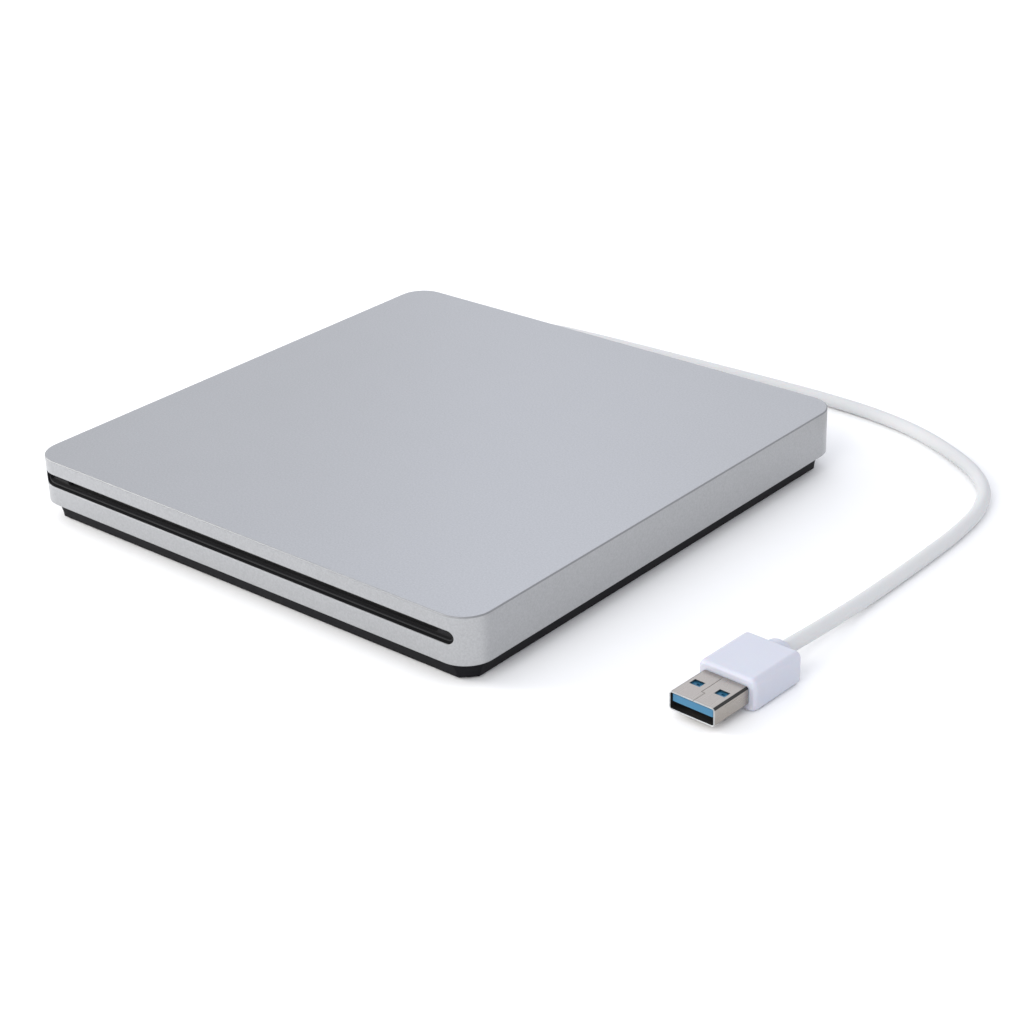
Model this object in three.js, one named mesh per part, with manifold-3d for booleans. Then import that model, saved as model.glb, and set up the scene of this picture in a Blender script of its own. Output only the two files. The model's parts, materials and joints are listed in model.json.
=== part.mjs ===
// A slim slot-loading optical drive with a captive USB cable, in millimetres.
// +Z is up, the slot is in the -Y wall, and the origin is on the table under the middle of the housing.
//
// The housing is a silver shell over a black tapered tray. Inside it a sheet-metal chassis holds the
// loading roller and its gears, three arms that guide the disc, and a traverse: a tilting frame that
// carries the spindle motor and the pickup. The traverse waits tilted down, so that a disc can pass over it.
import * as THREE from 'three';
import { mergeVertices } from 'three/addons/utils/BufferGeometryUtils.js';
import Module from 'manifold-3d';

const wasm = await Module();
wasm.setup();

// Driving dimensions
const GAP = 0.3; // clearance between neighbouring pieces
const SIZE = 145; // side of the square housing
const CORNER = 7.5; // radius of its upright corners
const WALL = 1.3; // shell side walls
const TOP_WALL = 1.2;
const TOP_EDGE = 0.35; // rounding of the shell's top edge
const FLAT_HALF = SIZE / 2 - CORNER; // half the flat length of a wall
const BASE_Z = 0.3; // underside of the tray
const SEAM_Z = 5; // lower edge of the shell
const TOP_Z = 17.2;

const TRAY_INSET = 1.8; // tray side from the shell's outer face, at the seam
const TRAY_TAPER = 1.2; // how much further in it is at the bottom
const TRAY_RIM_Z = 8; // top of the tray wall, inside the shell
const TRAY_FLOOR = 1.7;
const TRAY_CAVITY = 68.1; // half the width inside the tray wall

const SLOT_Z = 11.65; // middle of the disc slot, and of a loaded disc
const SLOT_HEIGHT = 3.3;
const SLOT_LENGTH = 137.3;
const SLOT_X = -1.15; // middle of its length
const LINER_WALL = 0.4;
const LINER_LENGTH = 132.8; // plates behind the shell's front wall
const LINER_FRONT = -72.2; // front of the strips, just inside the shell's face
const LINER_PLATE = -70.7; // front of the plates
const LINER_BACK = -69.6;
const FELT_THICKNESS = 1;
const FELT_LENGTH = 124;

const FOOT_RADIUS = 5;
const FOOT_PLACE = 55;
const SCREW_PLACE = 66;
const SCREW_BORE = 1.25;

const CABLE_X = -55; // where the cable leaves the rear wall
const CABLE_Z = 7.4;
const CABLE_DIAMETER = 3.5;
const BOOT_Y = 69.9; // its flange, inside the wall
const BOOT_END_Y = 81.5;
const BOOT_NECK = 2.4; // radius in the notch of the wall

const PLUG_PLACE = [120, 0.2, 4]; // of the frame that the plug is drawn in
const PLUG_TURN = -2.3 * Math.PI / 180; // its mouth points a little inwards
const PLUG_MOUTH_Y = -54.4;
const PLUG_WIDTH = 12; // metal shell of a USB type A plug
const PLUG_HEIGHT = 4.5;
const PLUG_EXPOSED = 12;
const PLUG_WALL = 0.3;
const WINDOW_X = 3.3; // middle of a latch window in the plug's shell
const WINDOW_Y = 6.2; // from the mouth
const WINDOW_HALF = [1.4, 1.05];
const GRIP_LENGTH = 16.6;
const GRIP_WIDTH = 15.4;
const GRIP_HEIGHT = 8;
const RELIEF_LENGTH = 4;
const RELIEF_RADIUS = 3.5;
const TONGUE_X = 5.35;
const TONGUE_Z = [-0.2, 1.65];

const CHASSIS_X = 63; // half the chassis width
const CHASSIS_FRONT = -67;
const CHASSIS_REAR = 61;
const CHASSIS_Z = 2.4; // underside of the pan
const CHASSIS_RIM_Z = 14.7;
const SHEET = 0.8;

const SPINDLE_Y = -3; // middle of a loaded disc
const TRAVERSE_TURN = -Math.PI / 4; // the pickup travels towards the rear right corner
const PIVOT_REACH = 70; // from the spindle to the traverse's pivot
const PIVOT_Z = 8.3;
const SPINDLE_DROP = 2.3; // how far the spindle waits below its playing height
const TURNTABLE_Z = 11.05; // top of its rim when raised, where it meets a disc's underside
const CAM_TRAVEL = 8;
const CAM_Y = -19; // the cam slider's front face, from the spindle
const CAM_PINS = [14, -4];
const PIVOT_EAR = 14; // inner faces of the chassis ears that hold the pivot shaft

const ROLLER_Y = -58;
const ROLLER_Z = 8.4;
const GEAR_Z = 7.1; // shafts of the gears behind the roller
const BRACKET_X = 59.6; // outer faces of the roller bracket's cheeks
const BRACKET_FRONT = -63.4;
const BRACKET_REAR = -44;
const BRACKET_Z = 4.7;
const MODULE = 0.5;
const TOOTH_TIP = 0.38; // above and below the pitch circle
const TOOTH_ROOT = 0.56;
const GEAR_X = 56.2;
const GEAR_WIDTH = 2;
const SHAFT_RADIUS = 0.75;
const SHAFT_BORE = 1.05;

const ARM_Z = 13.1;
const ARM_THICKNESS = 0.8;
const ARM_HALF_WIDTH = 2;
const ARM_BORE = 1.3;

const BOARD = 1; // thickness of both circuit boards
const MAIN_BOARD_Z = 3.6;
const BRIDGE_BOARD_Z = 3.4;
const CHIP_HEIGHT = 1.1;

// Finishes
const finish = (color, roughness, metalness) => (
  new THREE.MeshStandardMaterial({ color, roughness, metalness })
);
const SILVER = finish(0xbcbec4, 0.42, 0.75);
const BLACK = finish(0x232327, 0.55, 0);
const LINER_BLACK = finish(0x2b2b2e, 0.5, 0);
const FELT = finish(0x101012, 0.98, 0);
const RUBBER = finish(0x1c1c1e, 0.85, 0);
const WHITE = finish(0xdcdee8, 0.35, 0);
const CABLE_WHITE = finish(0xd8d8da, 0.45, 0);
const NICKEL = finish(0xb9b2aa, 0.28, 1);
const BLUE = finish(0x4696cd, 0.4, 0);
const SHEET_STEEL = finish(0x9fa2a3, 0.35, 0.9);
const BRIGHT_STEEL = finish(0xc6c8ca, 0.18, 1);
const DARK_PLASTIC = finish(0x2e2f33, 0.6, 0);
const NATURAL_PLASTIC = finish(0xe6e2d4, 0.5, 0);
const BOARD_GREEN = finish(0x1d5a38, 0.5, 0);
const CHIP_BLACK = finish(0x17181a, 0.6, 0);
const LENS_CLEAR = finish(0x8fb4c8, 0.08, 0.1);

// ---- Solids ----

function solid(geometry) {
  const bare = geometry.clone();
  bare.deleteAttribute('normal');
  bare.deleteAttribute('uv');
  const merged = mergeVertices(bare, 1e-5);
  const index = merged.index.array;
  const corners = [];
  for (let i = 0; i < index.length; i += 3) {
    const [a, b, c] = [index[i], index[i + 1], index[i + 2]];
    if (a !== b && b !== c && c !== a) corners.push(a, b, c);
  }
  return new wasm.Manifold(new wasm.Mesh({
    numProp: 3,
    vertProperties: Float32Array.from(merged.attributes.position.array),
    triVerts: Uint32Array.from(corners),
  }));
}

function toGeometry(body) {
  const mesh = body.getMesh();
  const geometry = new THREE.BufferGeometry();
  geometry.setAttribute('position', new THREE.BufferAttribute(mesh.vertProperties, 3));
  geometry.setIndex(new THREE.BufferAttribute(mesh.triVerts, 1));
  geometry.computeVertexNormals();
  return geometry;
}

function box(x0, x1, y0, y1, z0, z1) {
  const geometry = new THREE.BoxGeometry(x1 - x0, y1 - y0, z1 - z0);
  return solid(geometry.translate((x0 + x1) / 2, (y0 + y1) / 2, (z0 + z1) / 2));
}

// The same box on both sides of the middle
function bothSides(x0, x1, y0, y1, z0, z1) {
  return box(x0, x1, y0, y1, z0, z1).add(box(-x1, -x0, y0, y1, z0, z1));
}

// A straight round bar between two points
function bar(from, to, radius, segments = 16) {
  const start = new THREE.Vector3(...from);
  const along = new THREE.Vector3(...to).sub(start);
  const geometry = new THREE.CylinderGeometry(radius, radius, along.length(), segments);
  geometry.translate(0, along.length() / 2, 0);
  geometry.applyQuaternion(new THREE.Quaternion().setFromUnitVectors(
    new THREE.Vector3(0, 1, 0),
    along.normalize(),
  ));
  return solid(geometry.translate(...from));
}

// An outline in X and Y, from z0 up to z1
function slab(shape, z0, z1, curveSegments = 4) {
  const geometry = new THREE.ExtrudeGeometry(shape, { depth: z1 - z0, bevelEnabled: false, curveSegments });
  return solid(geometry.translate(0, 0, z0));
}

// An outline in X and Z, from y0 back to y1
function upright(shape, y0, y1, curveSegments = 4) {
  const geometry = new THREE.ExtrudeGeometry(shape, { depth: y1 - y0, bevelEnabled: false, curveSegments });
  return solid(geometry.rotateX(Math.PI / 2).translate(0, y1, 0));
}

// An outline in Y and Z, from x0 across to x1
function sideways(shape, x0, x1, curveSegments = 4) {
  const geometry = new THREE.ExtrudeGeometry(shape, { depth: x1 - x0, bevelEnabled: false, curveSegments });
  geometry.applyMatrix4(new THREE.Matrix4().makeBasis(
    new THREE.Vector3(0, 1, 0),
    new THREE.Vector3(0, 0, 1),
    new THREE.Vector3(1, 0, 0),
  ));
  return solid(geometry.translate(x0, 0, 0));
}

// A turned piece: each point of the profile is a radius and a height along the axis
function turned(profile, segments = 20) {
  const points = profile.map(([radius, height]) => new THREE.Vector2(radius, height));
  return new THREE.LatheGeometry(points, segments);
}

const turnedUp = (profile, x, y, segments) => (
  solid(turned(profile, segments).rotateX(Math.PI / 2).translate(x, y, 0))
);
const turnedAlongX = (profile, y, z, segments) => (
  solid(turned(profile, segments).rotateZ(-Math.PI / 2).translate(0, y, z))
);
const turnedAlongY = (profile, x, z, segments) => (
  solid(turned(profile, segments).translate(x, 0, z))
);

// ---- Outlines ----

function roundedBox(halfWidth, halfHeight, radius, centreY = 0) {
  const shape = new THREE.Shape();
  const [x, y] = [halfWidth - radius, halfHeight - radius];
  shape.absarc(x, centreY + y, radius, 0, Math.PI / 2);
  shape.absarc(-x, centreY + y, radius, Math.PI / 2, Math.PI);
  shape.absarc(-x, centreY - y, radius, Math.PI, Math.PI * 1.5);
  shape.absarc(x, centreY - y, radius, Math.PI * 1.5, Math.PI * 2);
  shape.closePath();
  return shape;
}

const roundedSquare = (half, radius) => roundedBox(half, half, radius);

// A slot with round ends, lying along X
const stadium = (halfLength, radius, centreZ) => roundedBox(halfLength, radius, radius - 0.001, centreZ);

function polygon(points) {
  return new THREE.Shape(points.map(([x, y]) => new THREE.Vector2(x, y)));
}

// A straight link with round ends, from one point to another
function link(from, to, halfWidth) {
  const turn = Math.atan2(to[1] - from[1], to[0] - from[0]);
  const shape = new THREE.Shape();
  shape.absarc(to[0], to[1], halfWidth, turn - Math.PI / 2, turn + Math.PI / 2);
  shape.absarc(from[0], from[1], halfWidth, turn + Math.PI / 2, turn + Math.PI * 1.5);
  shape.closePath();
  return shape;
}

const inCorners = (place) => [[-1, -1], [1, -1], [-1, 1], [1, 1]].map(([x, y]) => [x * place, y * place]);

// ---- Housing ----

function topShell() {
  const height = TOP_Z - SEAM_Z;
  const outer = new THREE.ExtrudeGeometry(roundedSquare(SIZE / 2, CORNER), {
    depth: height,
    bevelThickness: TOP_EDGE,
    bevelSize: TOP_EDGE,
    bevelOffset: -TOP_EDGE,
    bevelSegments: 2,
    curveSegments: 5,
  }).translate(0, 0, SEAM_Z - TOP_EDGE);
  let body = solid(outer);
  body = body.subtract(slab(roundedSquare(SIZE / 2 - WALL, CORNER - WALL), 0, TOP_Z - TOP_WALL, 5));
  body = body.subtract(box(-SIZE, SIZE, -SIZE, SIZE, 0, SEAM_Z));
  for (const [x, y] of inCorners(SCREW_PLACE)) {
    body = body.add(bar([x, y, TRAY_RIM_Z + 0.5], [x, y, TOP_Z - 0.5], 2.6));
    body = body.subtract(bar([x, y, 0], [x, y, 13], SCREW_BORE, 12));
  }
  const slot = stadium(SLOT_LENGTH / 2, SLOT_HEIGHT / 2, SLOT_Z);
  const notch = link([CABLE_X, 0], [CABLE_X, CABLE_Z], BOOT_NECK + GAP);
  body = body.subtract(upright(slot, -SIZE / 2 - 1, -SIZE / 2 + 3.5).translate([SLOT_X, 0, 0]));
  body = body.subtract(box(-FLAT_HALF - GAP, FLAT_HALF + GAP, -SIZE / 2 - 1, -SIZE / 2 + 3.5, 0, SLOT_Z));
  return body.subtract(upright(notch, SIZE / 2 - 3, SIZE / 2 + 1));
}

// The front wall under the slot. It is a solid of its own, so that the slot is a gap between simple solids
function shellFrontSill() {
  return box(-FLAT_HALF, FLAT_HALF, -SIZE / 2, WALL - SIZE / 2, SEAM_Z, SLOT_Z - SLOT_HEIGHT / 2);
}

function baseTray() {
  const outer = new THREE.ExtrudeGeometry(roundedSquare(SIZE / 2 - TRAY_INSET, CORNER - TRAY_INSET), {
    depth: TRAY_RIM_Z,
    bevelThickness: SEAM_Z - BASE_Z,
    bevelSize: TRAY_TAPER,
    bevelOffset: -TRAY_TAPER,
    bevelSegments: 1,
    curveSegments: 4,
  }).translate(0, 0, SEAM_Z);
  let body = solid(outer).subtract(box(-SIZE, SIZE, -SIZE, SIZE, TRAY_RIM_Z, SIZE));
  body = body.subtract(slab(roundedSquare(TRAY_CAVITY, 3), BASE_Z + TRAY_FLOOR, SIZE, 2));
  for (const [x, y] of inCorners(SCREW_PLACE)) {
    body = body.add(bar([x, y, BASE_Z], [x, y, TRAY_RIM_Z + 0.2], 2.9));
    body = body.subtract(bar([x, y, 0], [x, y, 2.8], 2.2));
    body = body.subtract(bar([x, y, 0], [x, y, SIZE], SCREW_BORE, 12));
  }
  for (const [x, y] of inCorners(FOOT_PLACE)) {
    body = body.subtract(bar([x, y, 0], [x, y, BASE_Z + 0.6], FOOT_RADIUS + GAP, 24));
  }
  return body.subtract(upright(link([CABLE_X, CABLE_Z], [CABLE_X, SIZE], 3.6), TRAY_CAVITY - 1, SIZE));
}

function caseScrew(x, y) {
  return turnedUp([[0, 1.2], [1.9, 1.2], [1.9, 2.5], [0.95, 2.5], [0.95, 12], [0, 12]], x, y, 12);
}

// One lip of the slot's liner: a thin strip inside the slot, and a plate behind it that carries the felt
function slotLip(side) {
  const outside = SLOT_Z + side * (SLOT_HEIGHT / 2 - GAP);
  const inside = outside - side * LINER_WALL;
  const end = side > 0 ? TOP_Z - TOP_WALL - 0.4 : TRAY_RIM_Z + 0.4;
  const strip = box(-FLAT_HALF, FLAT_HALF, LINER_FRONT, LINER_PLATE + 0.2,
    Math.min(inside, outside), Math.max(inside, outside));
  return strip.add(box(-LINER_LENGTH / 2, LINER_LENGTH / 2, LINER_PLATE, LINER_BACK,
    Math.min(inside, end), Math.max(inside, end)));
}

// One felt strip above the disc's path and one below it
function feltStrip(z0, z1) {
  const front = LINER_BACK + GAP;
  return box(-FELT_LENGTH / 2, FELT_LENGTH / 2, front, front + FELT_THICKNESS, z0, z1);
}

// ---- Cable and plug ----

// A flange inside the wall, a neck through it, a collar outside it and a taper down to the cable
function cableBoot() {
  const [flange, collar] = [BOOT_Y + 1, SIZE / 2 + GAP];
  const profile = [
    [0, BOOT_Y], [3.3, BOOT_Y], [3.3, flange], [BOOT_NECK, flange], [BOOT_NECK, collar],
    [3.1, collar], [3, collar + 1.4], [2.1, BOOT_END_Y], [0, BOOT_END_Y],
  ];
  return turnedAlongY(profile, CABLE_X, CABLE_Z, 18);
}

// The cable drops from the boot to the table, follows the rear wall, and turns round to the plug
function cableRoute() {
  const points = [
    [-55, 81.8, 7.4], [-55, 85.5, 6.9], [-54.3, 89.3, 5.6], [-52.4, 92.9, 4], [-49.2, 95.9, 2.75],
    [-44.8, 98, 1.95], [-39.5, 99.2, 1.8], [-32, 99.9, 1.8], [-21, 100.6, 1.8], [-8, 101.2, 1.8],
    [6, 101.8, 1.8], [21, 102.4, 1.8], [36, 102.9, 1.8], [52, 102.9, 1.8], [66, 101.9, 1.8],
    [80.6, 98.7, 1.8], [94.1, 92.9, 1.8], [104.8, 86.2, 1.8], [112.3, 78.1, 1.8], [116.8, 67.5, 1.8],
    [118.7, 54.4, 1.8], [119.2, 38.8, 1.8], [119.25, 23.1, 1.85], [119.3, 10, 2.15], [119.35, 0, 2.7],
    [119.4, -9, 3.3], [119.3, -16.5, 3.8], [119.1, -21.3, 4],
  ];
  return new THREE.CatmullRomCurve3(points.map((p) => new THREE.Vector3(...p)), false, 'centripetal');
}

function usbCable() {
  const section = new THREE.Shape().absarc(0, 0, CABLE_DIAMETER / 2, 0, Math.PI * 2);
  const geometry = new THREE.ExtrudeGeometry(section, {
    steps: 62,
    curveSegments: 4,
    extrudePath: cableRoute(),
  });
  return solid(geometry);
}

// The grip and its short relief are one moulding
function plugOvermould() {
  const edge = 1;
  const front = PLUG_MOUTH_Y + PLUG_EXPOSED;
  const rear = front + GRIP_LENGTH;
  const grip = new THREE.ExtrudeGeometry(roundedBox(GRIP_WIDTH / 2, GRIP_HEIGHT / 2, 1.6), {
    depth: GRIP_LENGTH - 2 * edge,
    bevelThickness: edge,
    bevelSize: edge,
    bevelOffset: -edge,
    bevelSegments: 2,
    curveSegments: 2,
  }).rotateX(Math.PI / 2).translate(0, rear - edge, 0);
  const end = rear + RELIEF_LENGTH;
  const relief = [
    [0, rear - 1], [RELIEF_RADIUS, rear - 1], [RELIEF_RADIUS, end - 2.2], [3.1, end - 1.2],
    [2.2, end - 0.4], [2, end], [0, end],
  ];
  return solid(grip).add(turnedAlongY(relief, 0, 0, 16));
}

function plugMetalShell() {
  const [insideX, insideZ] = [PLUG_WIDTH / 2 - PLUG_WALL, PLUG_HEIGHT / 2 - PLUG_WALL];
  const rear = PLUG_MOUTH_Y + PLUG_EXPOSED - GAP;
  let body = upright(roundedBox(PLUG_WIDTH / 2, PLUG_HEIGHT / 2, 0.5), PLUG_MOUTH_Y, rear, 1);
  body = body.subtract(box(-insideX, insideX, -SIZE, 0, -insideZ, insideZ));
  const [halfX, halfY] = WINDOW_HALF;
  const y = PLUG_MOUTH_Y + WINDOW_Y;
  for (const x of [-WINDOW_X, WINDOW_X]) {
    body = body.subtract(box(x - halfX, x + halfX, y - halfY, y + halfY, -PLUG_HEIGHT, PLUG_HEIGHT));
  }
  return body;
}

function plugTongue() {
  const rear = PLUG_MOUTH_Y + PLUG_EXPOSED - GAP;
  return box(-TONGUE_X, TONGUE_X, PLUG_MOUTH_Y + 0.4, rear, ...TONGUE_Z);
}

// ---- Chassis ----

const armPosts = [
  { name: 'eject_arm', pivot: [-50, 52], length: 44.4, angle: -27.2 },
  { name: 'guide_arm_left', pivot: [-56, 43], length: 30.4, angle: -74 },
  { name: 'guide_arm_right', pivot: [53, 53], length: 40.5, angle: -101.2 },
];

// A bar on the traverse's tilting axis, in the traverse's own frame
function pivotBar(halfLength, radius, segments) {
  return bar([-halfLength, PIVOT_REACH, PIVOT_Z], [halfLength, PIVOT_REACH, PIVOT_Z], radius, segments);
}

function driveChassis() {
  const floor = CHASSIS_Z + SHEET;
  let body = box(-CHASSIS_X, CHASSIS_X, CHASSIS_FRONT, CHASSIS_REAR, CHASSIS_Z, CHASSIS_RIM_Z);
  const inner = CHASSIS_X - SHEET;
  body = body.subtract(box(-inner, inner, CHASSIS_FRONT + SHEET, CHASSIS_REAR - SHEET, floor, SIZE));
  // The way in for the disc, and a window for the connector
  body = body.subtract(box(-inner, inner, -SIZE, CHASSIS_FRONT + SHEET + 1, 9.6, SIZE));
  body = body.subtract(box(-12, 14, CHASSIS_REAR - 2, CHASSIS_REAR + 2, 5.5, 10.5));
  for (const { pivot: [x, y] } of armPosts) {
    body = body.add(bar([x, y, floor - 0.4], [x, y, ARM_Z - GAP], 2.2));
    body = body.subtract(bar([x, y, 9], [x, y, SIZE], ARM_BORE, 12));
  }
  const [, , , { y, z }] = gearTrain();
  body = body.add(bar([GEAR_X - 0.2, y, z], [CHASSIS_X - 0.4, y, z], SHAFT_RADIUS));
  const ears = bothSides(PIVOT_EAR, PIVOT_EAR + 1.5, PIVOT_REACH - 1.4, PIVOT_REACH + 1.4, floor - 0.4, 10)
    .subtract(pivotBar(20, 1.1, 16))
    .rotate([0, 0, THREE.MathUtils.radToDeg(TRAVERSE_TURN)])
    .translate([0, SPINDLE_Y, 0]);
  return body.add(ears);
}

function driveTopCover() {
  const top = CHASSIS_RIM_Z + GAP;
  let body = box(-CHASSIS_X - 0.9, CHASSIS_X + 0.9, CHASSIS_FRONT + 6, CHASSIS_REAR, top, top + 0.7);
  body = body.add(box(-62, 62, CHASSIS_FRONT, CHASSIS_FRONT + 7, top, top + 0.7));
  body = body.add(bothSides(CHASSIS_X + GAP, CHASSIS_X + 0.9, -50, 50, 12.5, top + 0.2));
  body = body.subtract(bar([0, SPINDLE_Y, 0], [0, SPINDLE_Y, SIZE], 10, 24));
  for (const [x, y] of inCorners(SCREW_PLACE)) {
    body = body.subtract(bar([x, y, 0], [x, y, SIZE], 2.6 + GAP));
  }
  return body;
}

// ---- Traverse ----
// Drawn level in its own frame: the spindle at the origin, the pickup's travel along +Y

const RAIL_START = 14.8;
const RAIL_END = 65.6;
const RAIL_Z = PIVOT_Z;
const SCREW_X = -12.6;
const LENS_START = 23.5;

function traverseFrame() {
  const outline = polygon([[-19, -15.2], [19, -15.2], [19, 64.5], [13.6, 68.2], [13.6, 71.7], [-13.6, 71.7],
    [-13.6, 68.2], [-19, 64.5]]);
  let body = slab(outline, RAIL_Z - 0.6, RAIL_Z + 0.6);
  body = body.add(box(-13.6, 13.6, 68.3, 71.7, RAIL_Z - 1.4, RAIL_Z + 1.4));
  body = body.subtract(bar([0, 0, 0], [0, 0, SIZE], 10.8, 28));
  body = body.subtract(box(-15.5, 15.5, RAIL_START - GAP, RAIL_END + GAP, 0, SIZE));
  body = body.subtract(pivotBar(20, 1.1, 16));
  for (const x of CAM_PINS) body = body.add(bar([x, -15, RAIL_Z], [x, CAM_Y - 0.3, RAIL_Z], 0.8));
  return body;
}

// A rubber ring on the frame's screw hole, waisted in the middle
function traverseDamper(x, y) {
  const [bottom, top] = [RAIL_Z + 0.9, RAIL_Z + 2.1];
  return turnedUp([
    [0.7, bottom], [1.6, bottom], [1.3, (bottom + top) / 2], [1.6, top], [0.7, top], [0.7, bottom],
  ], x, y, 12);
}

function spindleMotor() {
  const top = TURNTABLE_Z - 1.3;
  return turnedUp([[0, 6.6], [10.4, 6.6], [10.4, 9.2], [8.5, top], [0, top]], 0, 0, 28);
}

// A flat rim that the disc sits on, and a hub that enters its hole
function turntable() {
  const bottom = TURNTABLE_Z - 1;
  return turnedUp([
    [0, bottom], [13, bottom], [13, TURNTABLE_Z], [7.4, TURNTABLE_Z], [7.2, 12.2], [5.4, 12.9], [0, 12.9],
  ], 0, 0, 28);
}

function pickupSled() {
  let body = box(-9.5, 15.2, LENS_START - 6, LENS_START + 8, 6.4, 9.9);
  body = body.add(box(-11.2, -9, LENS_START - 5, LENS_START - 1.5, 7.6, 9));
  for (const x of [-7.2, 12.6]) body = body.subtract(bar([x, 0, RAIL_Z], [x, SIZE, RAIL_Z], 1.3, 12));
  return body.subtract(box(-4.6, 4.6, LENS_START - 4, LENS_START + 4, 0, SIZE));
}

function pickupLens() {
  const carrier = box(-3.8, 3.8, LENS_START - 3.2, LENS_START + 3.2, 8.6, 10);
  return carrier.add(bar([0, LENS_START, 9.8], [0, LENS_START, 10.3], 1.9, 20));
}

const guideRod = (x) => bar([x, RAIL_START, RAIL_Z], [x, RAIL_END, RAIL_Z], 1, 12);
const leadScrew = () => bar([SCREW_X, RAIL_START, RAIL_Z], [SCREW_X, 59.8, RAIL_Z], 1.1, 12);
const feedMotor = () => bar([SCREW_X, 60.1, RAIL_Z], [SCREW_X, RAIL_END, RAIL_Z], 2.4);

// The slider stands in front of the traverse; its sloping slots lift the traverse's two pins
function camSlider(drop) {
  let body = box(-22, 24, CAM_Y, CAM_Y + 1.2, 3.7, 10.1);
  for (const x of CAM_PINS) {
    const slot = link([x, PIVOT_Z - drop], [x - CAM_TRAVEL, PIVOT_Z], 1.15);
    body = body.subtract(upright(slot, CAM_Y - 1, CAM_Y + 2));
  }
  return body;
}

// ---- Loading roller and gears ----

// From the roller back to the motor; each gear's turn puts its teeth between those of the one before.
// The roller's gear is smaller than the ends of the roller, so that a disc passes over it
function gearTrain() {
  const gears = [
    { name: 'roller_gear', teeth: 9, y: ROLLER_Y, z: ROLLER_Z },
    { name: 'idler_gear', teeth: 12 },
    { name: 'pivot_gear', teeth: 12 },
    { name: 'transfer_gear', teeth: 13 },
    { name: 'motor_pinion', teeth: 8 },
  ];
  gears[0].turn = 0;
  for (let i = 1; i < gears.length; i += 1) {
    const [last, next] = [gears[i - 1], gears[i]];
    const distance = MODULE * (last.teeth + next.teeth) / 2;
    next.z = GEAR_Z;
    next.y = last.y + Math.sqrt(distance ** 2 - (GEAR_Z - last.z) ** 2);
    const way = Math.atan2(next.z - last.z, next.y - last.y);
    const share = (way - last.turn) * last.teeth / (2 * Math.PI);
    next.turn = way + Math.PI - (0.5 - share) * 2 * Math.PI / next.teeth;
  }
  return gears;
}

function gear({ teeth, y, z, turn }, bore) {
  const pitch = MODULE * teeth / 2;
  const [tip, root] = [pitch + TOOTH_TIP, pitch - TOOTH_ROOT];
  const step = 2 * Math.PI / teeth;
  const points = [];
  for (let i = 0; i < teeth; i += 1) {
    for (const [radius, offset] of [[root, -0.27], [tip, -0.08], [tip, 0.08], [root, 0.27]]) {
      const angle = turn + (i + offset) * step;
      points.push([y + radius * Math.cos(angle), z + radius * Math.sin(angle)]);
    }
  }
  const body = sideways(polygon(points), GEAR_X, GEAR_X + GEAR_WIDTH);
  return body.subtract(bar([0, y, z], [SIZE, y, z], bore, 12));
}

// A rubber sleeve, thinner in the middle, so that it grips a disc only at its edges
function loadingRoller() {
  const profile = [
    [SHAFT_BORE, -55.5], [2.7, -55.5], [2.2, 0], [2.7, 55], [SHAFT_BORE, 55], [SHAFT_BORE, -55.5],
  ];
  return turnedAlongX(profile, ROLLER_Y, ROLLER_Z, 16);
}

// A plate under the roller with a cheek at each end, cut back where the gears hang down
function rollerBracket(idler, pivot) {
  const top = BRACKET_Z + 0.5;
  const cheek = BRACKET_X - SHEET;
  let body = box(-BRACKET_X, GEAR_X - 0.6, BRACKET_FRONT, BRACKET_REAR, BRACKET_Z, top);
  body = body.add(box(GEAR_X - 1.2, BRACKET_X, BRACKET_FRONT, BRACKET_FRONT + 1.3, BRACKET_Z, top));
  body = body.add(bothSides(cheek, BRACKET_X, BRACKET_FRONT, BRACKET_REAR, BRACKET_Z, 10.2));
  body = body.add(bar([GEAR_X - 0.2, idler.y, idler.z], [cheek + 0.4, idler.y, idler.z], 0.7));
  body = body.subtract(bar([-SIZE, ROLLER_Y, ROLLER_Z], [SIZE, ROLLER_Y, ROLLER_Z], SHAFT_BORE));
  return body.subtract(bar([-SIZE, pivot.y, pivot.z], [SIZE, pivot.y, pivot.z], SHAFT_BORE));
}

// The motor's can, its narrower gearbox and the output shaft
function loadingGearmotor(pinion) {
  const profile = [
    [0, 34], [3.6, 34], [3.6, 46], [3.3, 46],
    [3.3, 54], [SHAFT_RADIUS, 54], [SHAFT_RADIUS, 59], [0, 59],
  ];
  return turnedAlongX(profile, pinion.y, pinion.z, 18);
}

// ---- Disc arms ----

function discArm({ pivot, length, angle }) {
  const turn = THREE.MathUtils.degToRad(angle);
  const end = [pivot[0] + length * Math.cos(turn), pivot[1] + length * Math.sin(turn)];
  let body = slab(link(pivot, end, ARM_HALF_WIDTH), ARM_Z, ARM_Z + ARM_THICKNESS);
  body = body.add(bar([...end, ARM_Z - 2.7], [...end, ARM_Z + 0.4], 1.2, 12));
  return body.subtract(bar([...pivot, 0], [...pivot, SIZE], ARM_BORE, 12));
}

// It stands in the post's bore and its flat head keeps the arm down
function armRivet([x, y]) {
  const head = ARM_Z + ARM_THICKNESS + GAP;
  return turnedUp([[0, 9.5], [1, 9.5], [1, head], [1.9, head], [1.9, head + 0.4], [0, head + 0.4]], x, y, 12);
}

// ---- Boards ----

function mainBoard() {
  const outline = polygon([[-60, -27], [24, 57], [24, 58.5], [-60, 58.5]]);
  let body = slab(outline, MAIN_BOARD_Z, MAIN_BOARD_Z + BOARD);
  for (const { pivot: [x, y] } of armPosts.slice(0, 2)) {
    body = body.subtract(bar([x, y, 0], [x, y, SIZE], 2.6));
  }
  return body;
}

// A square package just above its board
function chip(x, y, width, depth, boardZ, height) {
  const z = boardZ + BOARD + GAP;
  return box(x - width / 2, x + width / 2, y - depth / 2, y + depth / 2, z, z + height);
}

// ---- Assembly ----

const drive = new THREE.Group();

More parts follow.
